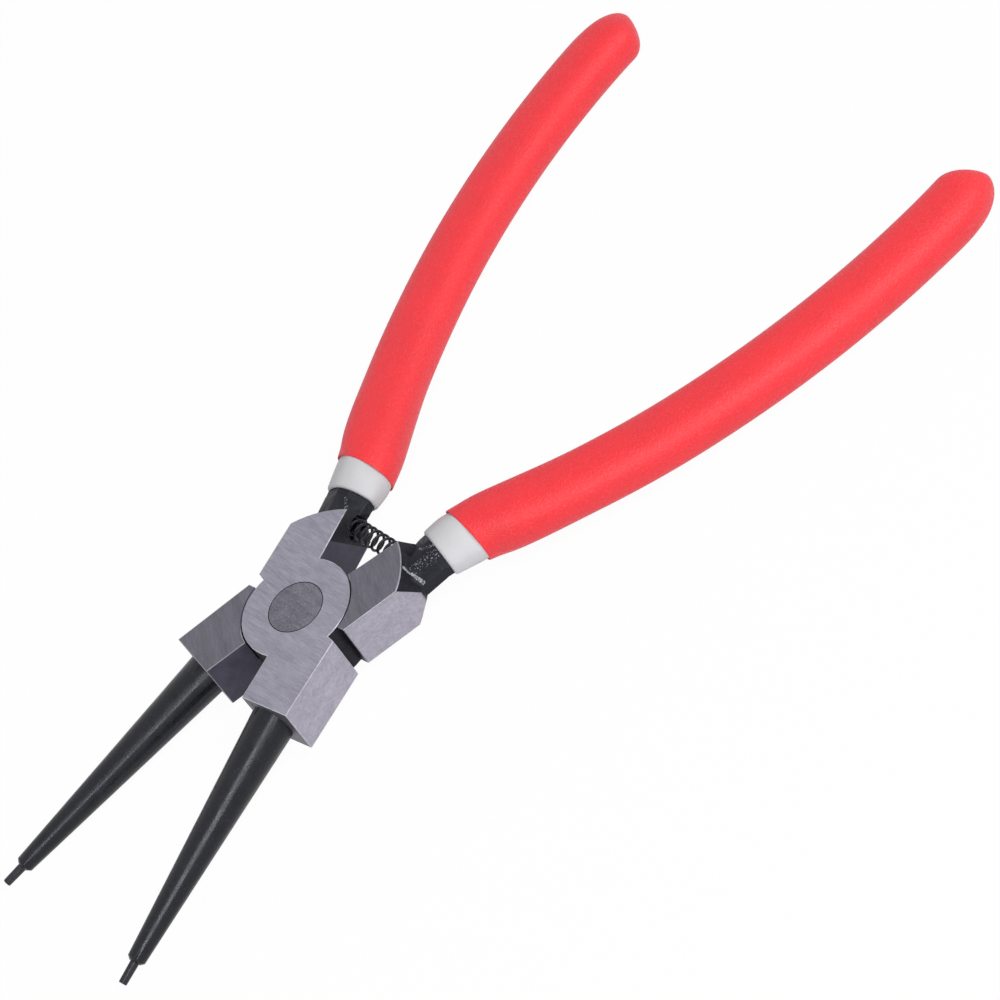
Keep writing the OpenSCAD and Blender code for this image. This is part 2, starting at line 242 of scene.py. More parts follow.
def take(piece):
    """Make a piece the only one that operators act on."""
    start_piece()
    piece.select_set(True)
    bpy.context.view_layer.objects.active = piece


def named(name):
    """Name the piece just added, and its mesh."""
    piece = bpy.context.active_object
    piece.name = name
    piece.data.name = name
    return piece


def select(kind, test):
    """In edit mode, select only the vertices, edges or faces that pass a test."""
    piece = bpy.context.active_object
    bpy.ops.mesh.select_mode(type={"verts": "VERT", "edges": "EDGE", "faces": "FACE"}[kind])
    bpy.ops.mesh.select_all(action="DESELECT")
    work = bmesh.from_edit_mesh(piece.data)
    work.normal_update()
    for part in getattr(work, kind):
        if test(part):
            part.select_set(True)
    work.select_flush(True)
    bmesh.update_edit_mesh(piece.data)


def sharp(edge, angle):
    """Whether two faces meet at an edge by an angle or more."""
    return len(edge.link_faces) == 2 and edge.calc_face_angle() >= angle


def settle(piece, degrees):
    """Put the piece's place into its mesh, and shade it smooth up to an angle."""
    take(piece)
    bpy.ops.object.transform_apply(location=True, rotation=True, scale=True)
    bpy.ops.object.shade_smooth_by_angle(angle=math.radians(degrees))


def wear(piece, *materials):
    """Give a piece its materials, in slot order."""
    piece.data.materials.clear()
    for material in materials:
        piece.data.materials.append(material)


def stand_for(piece, node, body):
    """Let a piece stand for its node and ride on its body."""
    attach(piece, body)
    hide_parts(node)


# Materials

# Scales of the textures, in features per metre
STEEL_SPECKS, STEEL_CLOUD = 5200.0, 260.0
RIVET_SPECKS, RIVET_CLOUD = 4200.0, 420.0
RIVET_MARKS = (2600.0, 240.0, 2600.0)
FACE_MARKS = (3000.0, 380.0, 3000.0)
SIDE_MARKS = (1500.0, 2400.0, 2200.0)
OXIDE_SPOTS, OXIDE_CLOUD = 3600.0, 420.0
DIP_CLOUD = 120.0

METAL_SHARE = 0.55
GROUND_ROUGH = (0.4, 0.58)
COOL_SHEEN = (0.82, 0.84, 0.92)
DIP_SHINE = 0.4


def feed(tree, node, **inputs):
    """Set or link inputs of a node, by name or by an underscore and a number."""
    for key, value in inputs.items():
        socket = node.inputs[int(key[1:])] if key[0] == "_" else node.inputs[key.replace("_", " ")]
        if isinstance(value, bpy.types.NodeSocket):
            tree.links.new(value, socket)
        else:
            socket.default_value = value


def put(tree, kind, settings=None, **inputs):
    """Add a node, set its options, and set or link its inputs."""
    node = tree.nodes.new(kind)
    for key, value in (settings or {}).items():
        setattr(node, key, value)
    feed(tree, node, **inputs)
    return node


def maths(tree, operation, first, second):
    """The result of one sum."""
    return put(tree, "ShaderNodeMath", {"operation": operation}, _0=first, _1=second).outputs[0]


def noise(tree, vector, scale, detail, rough):
    """A field of noise."""
    return put(tree, "ShaderNodeTexNoise", Vector=vector, Scale=scale, Detail=detail,
               Roughness=rough).outputs[0]


def rgba(colour, gain=1.0):
    """A colour with alpha, made lighter or darker."""
    return tuple(min(1.0, c * gain) for c in colour) + (1.0,)


def blend_colour(tree, mask, low, high):
    """Mix two colours by a mask."""
    node = put(tree, "ShaderNodeMix", {"data_type": "RGBA"}, _0=mask, _6=low, _7=high)
    return node.outputs[2]


def span(tree, value, low, high, to_low, to_high):
    """Map a value from one range to another, held at the ends."""
    return put(tree, "ShaderNodeMapRange", Value=value, From_Min=low, From_Max=high,
               To_Min=to_low, To_Max=to_high).outputs[0]


def lay_over(tree, base, mask, cover, colour, low=0.0):
    """Lay a colour over another where a mask shows, as far as its cover."""
    return blend_colour(tree, span(tree, mask, low, 1.0, 0.0, cover), base, colour)


def bumped(tree, height, distance):
    """A normal raised by a height map."""
    return put(tree, "ShaderNodeBump", Height=height, Distance=distance, Strength=1.0).outputs[0]


def new_group(name, inputs, outputs):
    """A node group with its inner sockets: inputs without a value are vectors, all others numbers."""
    group = bpy.data.node_groups.new(name, "ShaderNodeTree")
    for label, value in inputs.items():
        kind = "NodeSocketVector" if value is None else "NodeSocketFloat"
        socket = group.interface.new_socket(name=label, in_out="INPUT", socket_type=kind)
        if value is not None:
            socket.default_value = value
    for label in outputs:
        group.interface.new_socket(name=label, in_out="OUTPUT", socket_type="NodeSocketFloat")
    return group, group.nodes.new("NodeGroupInput").outputs, group.nodes.new("NodeGroupOutput").inputs


def once(make):
    """Let a node group be made only the first time that it is asked for, under its function's name."""
    name = make.__name__.replace("_", " ").capitalize()
    return lambda: bpy.data.node_groups.get(name) or make(name)


@once
def grinding_marks(name):
    """Short fine streaks, long along the stretched axis of the vector that is given."""
    group, given, made = new_group(name, {"Vector": None}, ("Mask",))
    fine = noise(group, given[0], 1.0, 3.0, 0.65)
    broad = noise(group, given[0], 0.23, 2.0, 0.5)
    both = put(group, "ShaderNodeMath", {"operation": "MULTIPLY_ADD"}, _0=broad, _1=0.6, _2=fine)
    group.links.new(span(group, both.outputs[0], 0.55, 1.05, 0.0, 1.0), made[0])
    return group


@once
def grain(name):
    """Fine round grains: small spots over a softer field of the same size."""
    group, given, made = new_group(name, {"Vector": None, "Scale": 4000.0, "Cover": 0.5},
                                   ("Spots", "Height"))
    field = noise(group, given[0], given[1], 2.0, 0.6)
    low = maths(group, "SUBTRACT", 0.86, given[2])
    high = maths(group, "ADD", low, 0.14)
    group.links.new(span(group, field, low, high, 0.0, 1.0), made[0])
    group.links.new(field, made[1])
    return group


@once
def mottle(name):
    """Slow cloudy change over a surface."""
    group, given, made = new_group(name, {"Vector": None, "Scale": 300.0}, ("Mask",))
    field = noise(group, given[0], given[1], 4.0, 0.6)
    group.links.new(span(group, field, 0.32, 0.68, 0.0, 1.0), made[0])
    return group


# Mask for the bright neck marks: rubbed wear with a painted highlight along the same lines
@once
def worn_line(name):
    """One along a straight line, fading to nothing at a distance from it."""
    group, given, made = new_group(name, {"Vector": None, "Start": None, "End": None, "Reach": 0.001},
                                   ("Mask",))

    def vector(operation, output, **inputs):
        return put(group, "ShaderNodeVectorMath", {"operation": operation}, **inputs).outputs[output]

    away = vector("SUBTRACT", "Vector", _0=given[0], _1=given[1])
    whole = vector("SUBTRACT", "Vector", _0=given[2], _1=given[1])
    along = vector("DOT_PRODUCT", "Value", _0=away, _1=whole)
    share = put(group, "ShaderNodeMath", {"operation": "DIVIDE", "use_clamp": True},
                _0=along, _1=vector("DOT_PRODUCT", "Value", _0=whole, _1=whole))
    nearest = vector("SCALE", "Vector", _0=whole, _3=share.outputs[0])
    gap = vector("DISTANCE", "Value", _0=away, _1=nearest)
    group.links.new(span(group, gap, 0.0, given[3], 1.0, 0.0), made[0])
    return group


def use(tree, group, **inputs):
    """Place a node group in a material, and give its outputs."""
    return put(tree, "ShaderNodeGroup", {"node_tree": group}, **inputs).outputs


def blank(name):
    """A new material with its shader, and the object's own coordinates."""
    material = bpy.data.materials.new(name)
    material.use_nodes = True
    tree = material.node_tree
    shader = next(n for n in tree.nodes if n.type == "BSDF_PRINCIPLED")
    place = tree.nodes.new("ShaderNodeTexCoord").outputs["Object"]
    return material, tree, shader, place


def ground_steel(name, colour, stretch, lie=0.0, contrast=0.24, cloudy=0.18):
    """Ground steel: streaks along one axis, light specks and a slow mottle."""
    material, tree, shader, place = blank(name)
    turned = put(tree, "ShaderNodeMapping", Vector=place, Rotation=(0.0, 0.0, lie)).outputs[0]
    lay = put(tree, "ShaderNodeMapping", Vector=turned, Scale=stretch).outputs[0]
    marks = use(tree, grinding_marks(), Vector=lay)[0]
    spots = use(tree, grain(), Vector=place, Scale=STEEL_SPECKS, Cover=0.26)[0]
    cloud = use(tree, mottle(), Vector=place, Scale=STEEL_CLOUD)[0]
    base = blend_colour(tree, marks, rgba(colour, 1.0 - contrast), rgba(colour, 1.0 + contrast))
    base = lay_over(tree, base, cloud, cloudy, rgba(colour, 0.62))
    base = lay_over(tree, base, spots, 0.6, rgba(colour, 1.7))
    feed(tree, shader, Base_Color=base, Metallic=METAL_SHARE, Normal=bumped(tree, marks, 0.00002),
         Roughness=span(tree, marks, 0.0, 1.0, *GROUND_ROUGH))
    return material


def black_steel(name, colour, rough, spot_cover, spot_gain, relief=0.00003, shine=0.3, marks=(), worn=None):
    """Blackened steel: uneven oxide with small rubbed spots, a fine skin, and bright places along lines that
    are partly rubbed wear and partly painted highlight.
    """
    material, tree, shader, place = blank(name)
    cloud = use(tree, mottle(), Vector=place, Scale=OXIDE_CLOUD)[0]
    spots, skin = use(tree, grain(), Vector=place, Scale=OXIDE_SPOTS, Cover=spot_cover)
    base = blend_colour(tree, cloud, rgba(colour, 0.72), rgba(colour, 1.3))
    base = lay_over(tree, base, spots, 0.75, rgba(colour, spot_gain))
    # Each mark lays a bright colour along a line: rubbed wear, and a painted highlight on the edge it follows
    for start, end, reach, most in marks:
        near = use(tree, worn_line(), Vector=place, Start=start, End=end, Reach=reach)[0]
        cover = span(tree, near, 0.0, 0.6, 0.0, most)
        rubbed = use(tree, grain(), Vector=place, Scale=OXIDE_SPOTS, Cover=cover)[0]
        base = blend_colour(tree, rubbed, base, rgba(worn))
    feed(tree, shader, Base_Color=base, Specular_IOR_Level=shine, Specular_Tint=rgba(COOL_SHEEN),
         Roughness=span(tree, cloud, 0.0, 1.0, rough - 0.06, rough + 0.1), Normal=bumped(tree, skin, relief))
    return material


def dipped_plastic(name, colour, light_colour, scale, cover, relief, rough, bloom=0.0, rim=(1.0, 1.0, 1.0)):
    """Dipped plastic: a matte skin with fine pale grain, and a bloom where it turns away."""
    material, tree, shader, place = blank(name)
    spots, skin = use(tree, grain(), Vector=place, Scale=scale, Cover=cover)
    cloud = use(tree, mottle(), Vector=place, Scale=DIP_CLOUD)[0]
    base = blend_colour(tree, cloud, rgba(colour, 0.95), rgba(colour, 1.05))
    base = lay_over(tree, base, spots, 0.3, rgba(light_colour))
    feed(tree, shader, Base_Color=base, Normal=bumped(tree, skin, relief), Specular_IOR_Level=DIP_SHINE,
         Sheen_Weight=bloom, Sheen_Tint=rgba(rim),
         Roughness=span(tree, cloud, 0.0, 1.0, rough - 0.04, rough + 0.06))
    return material


# The line of the handles

def ease(value, low, high):
    """Smooth step from 0 to 1."""
    t = min(1.0, max(0.0, (value - low) / (high - low)))
    return t * t * (3.0 - 2.0 * t)


def between(low, high, share):
    """A share of the way from one value to another."""
    return low + (high - low) * share


NUDGE = 0.05 * MM


class HandleLine:
    """Centre line and section of a handle in its shut place, turned out to one side."""

    def __init__(self, scene, side):
        self.h = scene.pliers_handles
        self.c = scene.pliers_coats
        self.head = scene.pliers_head
        self.way = 1.0 if side == "front" else -1.0

    def spine(self, u):
        """Height of the centre line over the long axis."""
        h = self.h
        bow = h.bow_y - h.bow_radius + math.sqrt(h.bow_radius ** 2 - (u - h.bow_x) ** 2)
        return h.neck_y + h.neck_bend * math.log(1.0 + math.exp((bow - h.neck_y) / h.neck_bend))

    def lean(self, u):
        """Turn of the section that stands on the line."""
        h = self.h
        bowed = ease(u, h.flare_to, h.flare_to + h.square_run)
        slope = math.atan2(self.spine(u + NUDGE) - self.spine(u - NUDGE), 2 * NUDGE)
        tilt = self.c.red_tilt * ease(u, h.flare_from, self.c.red_from)
        return slope * bowed - tilt * (1.0 - bowed)

    def lift(self, u):
        """How far the handle stands above the middle of the head."""
        h = self.h
        return h.lift * ease(u, h.lift_from, h.lift_full) * (1.0 - ease(u, h.lift_hold, h.lift_to))

    def half_axes(self, u, skin):
        """Half width and half height of the section under a skin."""
        h = self.h
        flare = ease(u, h.flare_from, h.flare_to)
        heel = 1.0 - ease(u, h.flare_to, h.heel_to)
        return (between(h.neck_half_width, h.tang_half_width + h.heel_width * heel, flare) + skin,
                between(h.neck_half_height, h.tang_half_height + h.heel_height * heel, flare) + skin)

    def section(self, u, skin, roundness, at=None):
        """Section of a skin over the forging, at a place of its own if that is given."""
        facets = (self.h.edge_half_height + skin / 2, self.h.crown_half_width + skin / 2)
        return Section(u if at is None else at, self.half_axes(u, skin), facets, roundness)

    def place(self, u):
        """Centre of a section in the open tool, and its turn about Z."""
        opening = self.head.opening
        x, y = u, self.spine(u)
        return (Vector((x * math.cos(opening) - y * math.sin(opening),
                        self.way * (x * math.sin(opening) + y * math.cos(opening)),
                        self.head.thickness / 2 + self.lift(u))),
                self.way * (opening + self.lean(u)))


RING_POINTS = 72
SQUARENESS = 2.4
FACET_SHARPNESS = 16.0


class Section:
    """One section of a sleeve: its place along the handle, half axes, facets, roundness and shift."""

    def __init__(self, u, half_axes, facets=None, roundness=1.0, shift=0.0):
        self.u = u
        self.width, self.height = half_axes
        self.facets = facets
        self.roundness = roundness
        self.shift = shift

    def point(self, angle):
        """Offset of a point of the outline: the forging's facets, rounded off by the roundness."""
        c, s = math.cos(angle), math.sin(angle)
        full = Vector((math.copysign(abs(c) ** (2.0 / SQUARENESS), c) * self.width,
                       math.copysign(abs(s) ** (2.0 / SQUARENESS), s) * self.height))
        if self.facets:
            edge, crown = self.facets
            slope = Vector((self.height - edge, self.width - crown))
            reach = slope.x * self.width + slope.y * edge
            x, y = (abs(v) for v in full.normalized())
            limits = (x / self.width, y / self.height, (slope.x * x + slope.y * y) / reach)
            flat = full.normalized() * sum(v ** FACET_SHARPNESS for v in limits) ** (-1.0 / FACET_SHARPNESS)
            full = flat.lerp(full, self.roundness)
        return full + Vector((self.shift, 0))


def sweep(name, line, sections):
    """Extrude a ring from section to section along a handle, and close both ends."""
    start_piece()
    bpy.ops.mesh.primitive_circle_add(vertices=RING_POINTS, radius=MM)
    piece = named(name)
    bpy.ops.object.mode_set(mode="EDIT")
    work = bmesh.from_edit_mesh(piece.data)
    mark = work.verts.layers.float.new("ring_angle")
    for point in work.verts:
        point[mark] = math.atan2(point.co.y, point.co.x)
    bpy.ops.mesh.select_all(action="SELECT")
    bpy.ops.mesh.edge_face_add()
    for index, section in enumerate(sections):
        if index:
            bpy.ops.mesh.extrude_edges_move()
        centre, turned = line.place(section.u)
        across = Vector((-math.sin(turned), math.cos(turned), 0)) * line.way
        work = bmesh.from_edit_mesh(piece.data)
        mark = work.verts.layers.float["ring_angle"]
        for point in work.verts:
            if point.select:
                out, up = section.point(point[mark])
                point.co = centre + across * out + Vector((0, 0, up))
        bmesh.update_edit_mesh(piece.data)
    bpy.ops.mesh.edge_face_add()
    bpy.ops.mesh.select_all(action="SELECT")
    bpy.ops.mesh.normals_make_consistent(inside=False)
    settle(piece, 60)
    return piece


def steps(low, high, step):
    """Even distances from low to high."""
    count = max(1, round((high - low) / step))
    return [low + (high - low) * i / count for i in range(count + 1)]


END_STEPS = 26
END_CROWDING = 2.2
END_CLEAR = 1 * MM
INNER_POWERS = (2.1, 0.85)
OUTER_POWERS = (2.0, 0.54)
OVER_POWERS = (2.0, 0.5)


def swell(run, full, powers):
    """How much of its full size a round has, at a distance behind its foremost point."""
    return (1.0 - max(0.0, 1.0 - run / full) ** powers[0]) ** powers[1]


def round_end(line, end, skin):
    """Sections that close a sleeve: a long round on the outer side, a slanted one on the inner side."""
    coats = line.c
    made = []
    for step in range(END_STEPS):
        run = coats.end_outer * (1.0 - step / END_STEPS) ** END_CROWDING
        width, height = line.half_axes(end - run, skin)
        lead = coats.end_lead * width
        outer = lead + (width - lead) * swell(run, coats.end_outer, OUTER_POWERS)
        inner = (width + lead) * swell(run, coats.end_inner, INNER_POWERS) - lead
        half_axes = ((outer + inner) / 2, height * swell(run, coats.end_over, OVER_POWERS))
        made.append(Section(end - run, half_axes, shift=(outer - inner) / 2))
    return made


# Operators

FLOOR_GAP = 0.4 * MM
FLOOR_WHITE = 0.96


class PLIERS_OT_stage(bpy.types.Operator):
    """Set the camera, the pale floor, the lamp and the even light"""
    bl_idname = "pliers.stage"
    bl_label = "Studio"

    def execute(self, context):
        stage = context.scene.pliers_stage
        context.scene.view_settings.view_transform = "Standard"
        start_piece()
        bpy.ops.object.camera_add(location=stage.camera_place, rotation=stage.camera_turn)
        camera = named("photo_camera")
        camera.data.lens = stage.focal
        camera.data.sensor_width = 36.0
        camera.data.clip_start = 0.01
        context.scene.camera = camera

        tip_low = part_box("front_tip_pin")[0]
        grip_low, grip_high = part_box("front_grip")
        slope = math.atan2(grip_low.z - tip_low.z, grip_high.x - tip_low.x)
        start_piece()
        bpy.ops.mesh.primitive_plane_add(size=stage.floor_size, rotation=(0, -slope, 0),
                                         location=(tip_low.x, 0, tip_low.z - FLOOR_GAP))
        floor = named("studio_floor")
        wear(floor, self.floor_material(stage))

        start_piece()
        bpy.ops.object.light_add(type="AREA", location=stage.lamp_place)
        lamp = named("strip_lamp")
        lamp.data.energy = stage.lamp
        lamp.data.shape = "RECTANGLE"
        lamp.data.size, lamp.data.size_y = stage.lamp_length, stage.lamp_width
        aim = -Vector((0, stage.lamp_place[1], stage.lamp_place[2]))
        lamp.rotation_euler = aim.to_track_quat("-Z", "Y").to_euler()

        world = bpy.data.worlds.new("studio_light")
        context.scene.world = world
        world.use_nodes = True
        tree = world.node_tree
        back = next(n for n in tree.nodes if n.type == "BACKGROUND")
        feed(tree, back, Color=(1, 1, 1, 1), Strength=span(tree, self.seen(tree), 0.0, 1.0, stage.sky, 1.0))
        return {"FINISHED"}

    @staticmethod
    def seen(tree):
        """One for rays that look at the background, straight or in a reflection."""
        rays = tree.nodes.new("ShaderNodeLightPath").outputs
        both = maths(tree, "MAXIMUM", rays["Is Camera Ray"], rays["Is Glossy Ray"])
        return maths(tree, "MAXIMUM", both, rays["Is Transmission Ray"])

    def floor_material(self, stage):
        """Pale floor that is seen white and still takes the object's shadow."""
        material, tree, shader, _ = blank("pale_floor")
        feed(tree, shader, Base_Color=rgba(stage.floor_tone), Roughness=0.9, Specular_IOR_Level=0.1)
        glow = put(tree, "ShaderNodeEmission", Color=(1, 1, 1, 1), Strength=1.0)
        share = span(tree, self.seen(tree), 0.0, 1.0, 0.0, FLOOR_WHITE)
        mixed = put(tree, "ShaderNodeMixShader", _0=share, _1=shader.outputs[0], _2=glow.outputs[0])
        output = next(n for n in tree.nodes if n.type == "OUTPUT_MATERIAL")
        tree.links.new(mixed.outputs[0], output.inputs["Surface"])
        return material


class PLIERS_OT_halves(bpy.types.Operator):
    """Make the two forged halves: broken edges, ground faces and black forged necks and cones"""
    bl_idname = "pliers.halves"
    bl_label = "Forged halves"

    BLACK, FACE, SIDE, CONE, EDGE, WALL, END = range(7)

    # Bright places on the necks, partly rubbed wear and partly painted highlight, in the half's own frame:
    # two ends, reach to the side, and how much is bright
    WORN = {"front": (((19.4, 3.5, 7.0), (20.8, 4.1, 7.6), 0.6, 0.32),),
            "rear": (((16.5, 6.25, 0.6), (17.0, 7.0, 2.3), 0.5, 0.54),
                     ((17.0, 7.0, 2.3), (17.6, 8.7, 3.2), 0.55, 0.48),
                     ((20.1, 4.3, 1.5), (22.1, 5.7, 1.1), 0.4, 0.36),
                     ((17.8, 6.4, 1.9), (21.4, 6.9, 1.7), 1.7, 0.295))}

    # How much of a normal or an edge lies along an axis
    LEVEL, NEARLY, MOSTLY, LARGELY, HALF, PARTLY, HARDLY = 0.999, 0.95, 0.9, 0.8, 0.5, 0.4, 0.2

    # Distances that tell the faces and edges of the forging apart
    SKIN = 0.05 * MM
    CONE_CLEAR = 0.5 * MM
    SIDE_CLEAR = 0.2 * MM
    SIDE_DEPTH = 0.4 * MM
    END_DEPTH = 1.2 * MM
    RIVET_CLEAR = 0.4 * MM
    JAW_CLEAR = 1 * MM
    NECK_CLEAR = 2 * MM
    FOOT_CLEAR = 0.1 * MM

    # Run of the foot's two ends, reach of the spring's seat, and start and end of the lift round its coil
    FOOT_RUN = 2 * MM
    SEAT_REACH = 2.9 * MM
    SEAT_CLEAR = (0.4 * MM, 1.6 * MM)
    LIFT_CORE = 0.6

    MERGE = 2e-6
    FLATTEN = math.radians(1.2)
    GROUND_ANGLE, FORGED_ANGLE = math.radians(35), math.radians(25)
    LAY = {"front": 0.0, "rear": math.radians(30)}

    def execute(self, context):
        finish = context.scene.pliers_finish
        cone = black_steel("black_cone_steel", finish.cone, rough=0.3, spot_cover=0.26, spot_gain=10.0,
                           shine=0.4)
        side = ground_steel("ground_side_steel", finish.ground_side, SIDE_MARKS, contrast=0.2, cloudy=0.06)
        # Painted shade for the jaws' end faces, where the cones shadow them
        end = ground_steel("jaw_end_steel", finish.jaw_end, SIDE_MARKS, contrast=0.2, cloudy=0.3)
        wall = black_steel("dark_wall_steel", finish.wall, rough=0.5, spot_cover=0.2, spot_gain=2.0,
                           relief=0.00001)
        for half in SIDES:
            face = ground_steel(half + "_face_steel", getattr(finish, half + "_face"), FACE_MARKS,
                                lie=self.LAY[half])
            # Lighter ground steel for the bevels, a painted highlight along the broken edges
            edge = ground_steel(half + "_edge_steel", getattr(finish, half + "_edge"), SIDE_MARKS,
                                contrast=0.2, cloudy=0.3)
            back = self.own_frame(context.scene.pliers_head, half).inverted()
            marks = [(back @ (Vector(start) * MM), back @ (Vector(stop) * MM), reach * MM, cover)
                     for start, stop, reach, cover in self.WORN[half]]
            black = black_steel(half + "_black_steel", finish.black, rough=0.45, spot_cover=0.26,
                                spot_gain=5.0, shine=0.22, marks=marks, worn=finish.worn)
            piece = self.shape(context, half, (black, face, side, cone, edge, wall, end))
            stand_for(piece, half + "_half", half)
        return {"FINISHED"}

    def own_frame(self, head, half):
        """Turn from the open tool to the half's own shut place."""
        if half == "front":
            return Matrix.Rotation(-head.opening, 4, "Z")
        flip = Matrix.Translation((0, 0, head.thickness)) @ Matrix.Rotation(math.pi, 4, "X")
        return flip @ Matrix.Rotation(head.opening, 4, "Z")

    def kind_of(self, head, centre, normal):
        """Which finish a face of the forging has, from its place and normal in the half's own frame."""
        if centre.x < -head.jaw_end - self.CONE_CLEAR and abs(normal.z) < self.LEVEL:
            if centre.y < -head.jaw_side + self.SIDE_CLEAR and abs(normal.y) > self.NEARLY:
                return self.SIDE
            return self.CONE
        if abs(normal.z) > self.NEARLY and not self.SKIN <= centre.z <= head.thickness - self.SKIN:
            return self.FACE
        if centre.x > head.neck_start:
            return self.BLACK
        if (abs(normal.z) < self.HARDLY and abs(normal.y) > self.MOSTLY
                and abs(centre.y) > head.jaw_side - self.SIDE_DEPTH):
            return self.SIDE
        # The jaws' end faces take the painted cone shade
        if normal.x < -self.NEARLY and centre.x < -head.jaw_end + self.END_DEPTH:
            return self.END
        if abs(normal.z) < self.MOSTLY and normal.y * (1 if centre.x < 0 else -1) > self.PARTLY:
            return self.WALL
        return self.BLACK

    def set_root(self, scene, work, own, half):
        """Draw the foot of the neck in, lay the neck flush with the inner wall, and raise the handle."""
        head, spring = scene.pliers_head, scene.pliers_spring
        line = HandleLine(scene, half)
        middle = head.thickness / 2
        back, turn_only = own.inverted(), own.to_3x3()
        for point in work.verts:
            spot = own @ point.co
            normals = [turn_only @ f.normal for f in point.link_faces]
            side = abs(spot.z - middle)
            if any(n.x > self.HALF for n in normals) and side < middle - self.FOOT_CLEAR:
                reach = ease(spot.y, head.foot_inner, head.foot_inner + self.FOOT_RUN)
                reach *= 1.0 - ease(spot.y, head.foot_outer - self.FOOT_RUN, head.foot_outer)
                spot.x -= head.foot_draw * reach
            wall = head.wall_y + (spot.x - head.wall_from) * math.tan(head.wall_lean)
            along = head.wall_from < spot.x < spring.place + self.SEAT_REACH
            if along and any(n.y < -self.PARTLY for n in normals):
                spot.y = max(spot.y, wall)
            clear = Vector((spot.x - spring.place, spot.z - middle)).length - spring.radius
            point.co = back @ spot
            point.co.z += (line.lift(spot.x) * (1.0 - ease(side, self.LIFT_CORE * middle, middle))
                           * ease(clear, *self.SEAT_CLEAR))

    def blacken_seat(self, piece, head, own):
        """Split the inner wall on a slant, and paint the end with the spring's seat black, as painted shade
        from the spring and its seat.
        """
        out = Vector((math.cos(head.wall_slant), 0, math.sin(head.wall_slant)))
        start = Vector((head.wall_to, 0, head.thickness / 2))
        back = own.inverted()
        select("faces", lambda f: f.material_index == self.WALL and (own @ f.calc_center_median()).x > 0)
        bpy.ops.mesh.bisect(plane_co=back @ start, plane_no=back.to_3x3() @ out)
        work = bmesh.from_edit_mesh(piece.data)
        for face in work.faces:
            if face.material_index == self.WALL and (own @ face.calc_center_median() - start).dot(out) > 0:
                face.material_index = self.BLACK
        bmesh.update_edit_mesh(piece.data)

    def shape(self, context, half, materials):
        """A merged copy of the half's solid with its edges broken and its faces finished."""
        head = context.scene.pliers_head
        own = self.own_frame(head, half)
        turn_only = own.to_3x3()
        start_piece()
        piece = bpy.data.objects.new(half + "_forging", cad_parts[half + "_half"].data.copy())
        context.scene.collection.objects.link(piece)
        wear(piece, *materials)
        take(piece)
        bpy.ops.object.mode_set(mode="EDIT")
        bpy.ops.mesh.select_all(action="SELECT")
        bpy.ops.mesh.remove_doubles(threshold=self.MERGE)
        bpy.ops.mesh.dissolve_limited(angle_limit=self.FLATTEN)
        work = bmesh.from_edit_mesh(piece.data)
        work.normal_update()
        for face in work.faces:
            face.material_index = self.kind_of(head, own @ face.calc_center_median(), turn_only @ face.normal)
        self.set_root(context.scene, work, own, half)
        bmesh.update_edit_mesh(piece.data)
        # Black laid round the spring's seat as painted shade
        self.blacken_seat(piece, head, own)

        def ground_edge(edge):
            kinds = {f.material_index for f in edge.link_faces}
            if not sharp(edge, self.GROUND_ANGLE) or self.WALL in kinds or kinds == {self.END, self.SIDE}:
                return False
            normals = [turn_only @ f.normal for f in edge.link_faces]
            slanted = any(n.x > self.HARDLY and self.HARDLY < abs(n.z) < self.MOSTLY for n in normals)
            if slanted and (half == "front" or self.FACE not in kinds):
                return False
            middle = own @ ((edge.verts[0].co + edge.verts[1].co) / 2)
            return (kinds & {self.FACE, self.SIDE} and middle.xy.length > head.rivet_radius + self.RIVET_CLEAR
                    and middle.x > -head.jaw_end - self.JAW_CLEAR)

        # These bevels get the edge material, a painted highlight on the real broken edges
        select("edges", ground_edge)
        bpy.ops.mesh.bevel(offset=head.edge_break, segments=2, profile=0.5, clamp_overlap=False,
                           material=self.EDGE)

        def forged_edge(edge):
            ends = [own @ v.co for v in edge.verts]
            along = (ends[1] - ends[0]).normalized()
            return (sharp(edge, self.FORGED_ANGLE) and abs(along.x) > self.LARGELY
                    and min(e.x for e in ends) > head.neck_start + self.NECK_CLEAR)

        select("edges", forged_edge)
        bpy.ops.mesh.bevel(offset=head.forged_break, segments=3, profile=0.5, clamp_overlap=True)
        settle(piece, 30)
        even = piece.modifiers.new("even_normals", "WEIGHTED_NORMAL")
        even.keep_sharp = True
        bpy.ops.object.modifier_apply(modifier=even.name)
        return piece


